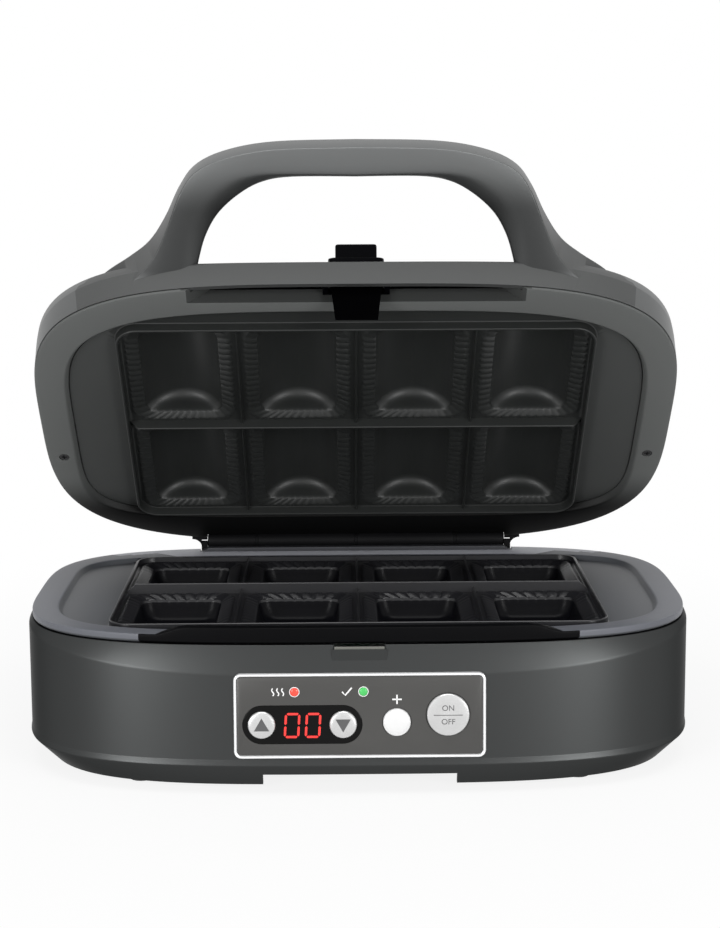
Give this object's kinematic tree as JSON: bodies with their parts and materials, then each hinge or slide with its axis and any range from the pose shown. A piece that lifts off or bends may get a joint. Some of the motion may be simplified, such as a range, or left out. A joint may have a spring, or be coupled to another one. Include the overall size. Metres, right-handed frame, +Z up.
{
  "type": "donut maker",
  "caption": "Countertop electric pastry maker: hinged lid with arch handle and latch button over a plate of rectangular crimped pockets, keypad panel in front.",
  "frame": {"origin": "middle of the space the maker takes up with its lid half open, on the worktop", "axes": "+X to the right seen from the front, -Y to the front, +Z up"},
  "size_m": [0.3738, 0.2556, 0.3409],
  "materials": {
    "shell": "satin dark grey",
    "lid_frame": "satin dark grey",
    "plate": "dark non-stick coating",
    "black_plastic": "fine textured black",
    "cover": "textured black",
    "rubber": "matt black",
    "steel": "plated",
    "tray": "bright sheet",
    "chrome": "polished",
    "fascia": "grey metallic film",
    "window": "gloss black",
    "display": "lit red digits on black",
    "board": "green laminate",
    "silver_key": "silver plated",
    "white_key": "gloss white",
    "red_lamp": "clear red",
    "green_lamp": "clear green",
    "white_plastic": "natural white"
  },
  "bodies": {
    "base": {"base_housing": "shell", "lower_plate": "plate", "bottom_cover": "cover", "foot_front_left": "rubber", "cover_screw_front_left": "steel", "foot_front_right": "rubber", "cover_screw_front_right": "steel", "foot_rear_right": "rubber", "cover_screw_rear_right": "steel", "foot_rear_left": "rubber", "cover_screw_rear_left": "steel", "lower_heater": "steel", "lower_reflector": "tray", "thermostat": "steel", "hinge_pin": "steel", "base_knuckle_left": "black_plastic", "base_knuckle_right": "black_plastic", "cord_gland": "rubber", "terminal_block": "white_plastic", "panel_bezel": "chrome", "panel_fascia": "fascia", "display_window": "window", "display_module": "display", "control_board": "board", "heating_lamp": "red_lamp", "ready_lamp": "green_lamp"},
    "lid": {"lid_shell": "shell", "lid_frame": "lid_frame", "upper_plate": "plate", "upper_heater": "steel", "upper_reflector": "tray", "frame_screw_left": "steel", "frame_screw_right": "steel", "lid_knuckle_left": "black_plastic", "lid_knuckle_right": "black_plastic", "latch_collar": "black_plastic", "latch_bracket": "black_plastic", "latch_pin": "steel"},
    "latch_button": {"latch_button": "black_plastic"},
    "latch_tongue": {"latch_tongue": "black_plastic"},
    "up_button": {"up_button": "silver_key"},
    "down_button": {"down_button": "silver_key"},
    "more_button": {"more_button": "white_key"},
    "start_button": {"start_button": "silver_key"}
  },
  "joints": [
    {"name": "lid_hinge", "type": "hinge", "parent": "base", "child": "lid", "pos_m": [0, 0.10507, 0.0882], "axis": [-1, 0, 0], "range_deg": [-48.6, 45]},
    {"name": "latch_press", "type": "slide", "parent": "lid", "child": "latch_button", "axis": [0, -0.2181, -0.9759], "range_m": [0, 0.002], "stiffness_N_per_m": 400},
    {"name": "latch_swing", "type": "hinge", "parent": "lid", "child": "latch_tongue", "pos_m": [0, -0.0351, 0.26051], "axis": [-1, 0, 0], "range_deg": [0, 1.8]},
    {"name": "up_press", "type": "slide", "parent": "base", "child": "up_button", "axis": [0, 0.9973, -0.0735], "range_m": [0, 0.0012], "stiffness_N_per_m": 300},
    {"name": "down_press", "type": "slide", "parent": "base", "child": "down_button", "axis": [0, 0.9973, -0.0735], "range_m": [0, 0.0012], "stiffness_N_per_m": 300},
    {"name": "more_press", "type": "slide", "parent": "base", "child": "more_button", "axis": [0, 0.9973, -0.0735], "range_m": [0, 0.0012], "stiffness_N_per_m": 300},
    {"name": "start_press", "type": "slide", "parent": "base", "child": "start_button", "axis": [0, 0.9973, -0.0735], "range_m": [0, 0.0012], "stiffness_N_per_m": 300}
  ],
  "couplings": [
    {"joint": "latch_swing", "follows": "latch_press", "rad_per_m": 15}
  ]
}
